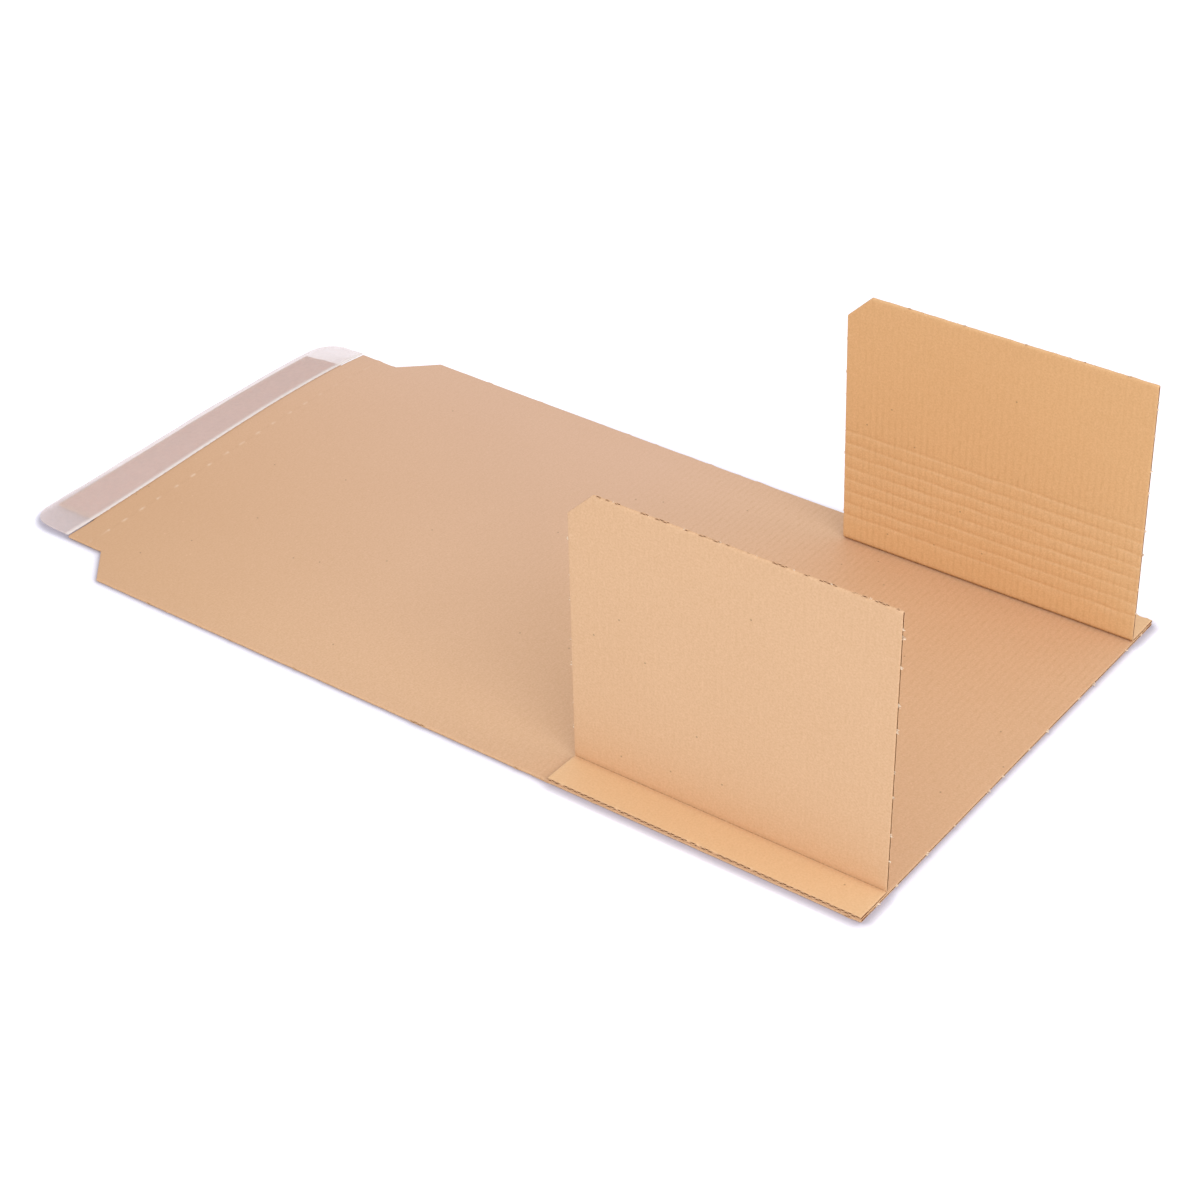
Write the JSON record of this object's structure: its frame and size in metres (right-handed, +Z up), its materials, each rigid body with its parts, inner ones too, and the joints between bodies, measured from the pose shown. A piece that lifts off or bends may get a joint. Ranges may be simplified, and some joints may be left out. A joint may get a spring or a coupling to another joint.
{
  "type": "wraparound mailer",
  "caption": "Flat long sheet of thin kraft corrugated board with two upright side flaps at one end and a self-seal strip with its release liner on a narrower tongue at the other.",
  "frame": {"origin": "on the ground under the middle of the whole piece", "axes": "+X along the sheet to the end with the flaps, +Y across it to the far flap, +Z up"},
  "size_m": [0.481, 0.257, 0.1373],
  "materials": {
    "kraft_board": "matt unbleached kraft face",
    "seal_glue": "clear tacky film",
    "release_liner": "milky siliconed film"
  },
  "bodies": {
    "wrap": {"wrap_sheet": "kraft_board", "near_margin_strip": "kraft_board", "far_margin_strip": "kraft_board", "seal_glue": "seal_glue", "release_liner": "release_liner"},
    "near_flap": {"near_side_flap": "kraft_board"},
    "far_flap": {"far_side_flap": "kraft_board"}
  },
  "joints": [
    {"name": "near_fold", "type": "hinge", "parent": "wrap", "child": "near_flap", "pos_m": [0.1645, -0.1085, 0.00232], "axis": [-1, 0, 0], "range_deg": [-26, 91.4]},
    {"name": "far_fold", "type": "hinge", "parent": "wrap", "child": "far_flap", "pos_m": [0.1645, 0.1085, 0.00232], "axis": [1, 0, 0], "range_deg": [-32, 83.5]}
  ]
}
